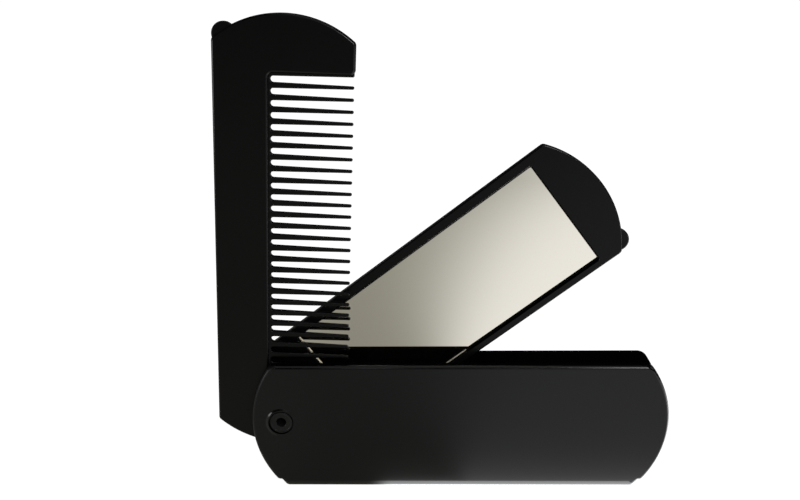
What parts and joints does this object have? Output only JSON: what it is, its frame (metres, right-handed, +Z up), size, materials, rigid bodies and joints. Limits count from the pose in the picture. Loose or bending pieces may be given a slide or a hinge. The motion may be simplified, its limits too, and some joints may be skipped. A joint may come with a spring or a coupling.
{
  "type": "pocket mirror comb",
  "caption": "Folding pocket comb and mirror that swing out of a slim slotted case on one tubular rivet.",
  "frame": {"origin": "on the case's flat foot, at the middle of the case's length and of its thickness", "axes": "+X along the case towards the end away from the rivet, +Y towards the rear cover, +Z up from the foot towards the slot's mouth"},
  "size_m": [0.1174, 0.0112, 0.1215],
  "materials": {
    "case_plastic": "satin black moulded plastic",
    "blade_plastic": "fine matte black moulded plastic",
    "mirror_glass": "silvered glass with ground edges",
    "foam_tape": "white double-sided foam tape",
    "rivet_metal": "black lacquered rivet",
    "washer_metal": "black lacquered washer",
    "washer_nylon": "plain black nylon"
  },
  "bodies": {
    "case": {"front_cover": "case_plastic", "rear_cover": "case_plastic", "pivot_rivet": "rivet_metal", "rivet_backing_washer": "washer_metal", "front_friction_washer": "washer_nylon", "middle_friction_washer": "washer_nylon", "rear_friction_washer": "washer_nylon"},
    "comb": {"comb": "blade_plastic"},
    "mirror": {"mirror_frame": "blade_plastic", "mirror_glass": "mirror_glass", "mirror_adhesive_pad": "foam_tape"}
  },
  "joints": [
    {"name": "comb_hinge", "type": "hinge", "parent": "case", "child": "comb", "pos_m": [-0.0464, -0.0011, 0.01855], "axis": [0, -1, 0], "range_deg": [-87.2, 92.8]},
    {"name": "mirror_hinge", "type": "hinge", "parent": "case", "child": "mirror", "pos_m": [-0.0464, 0.00195, 0.01855], "axis": [0, -1, 0], "range_deg": [-37, 143]}
  ]
}
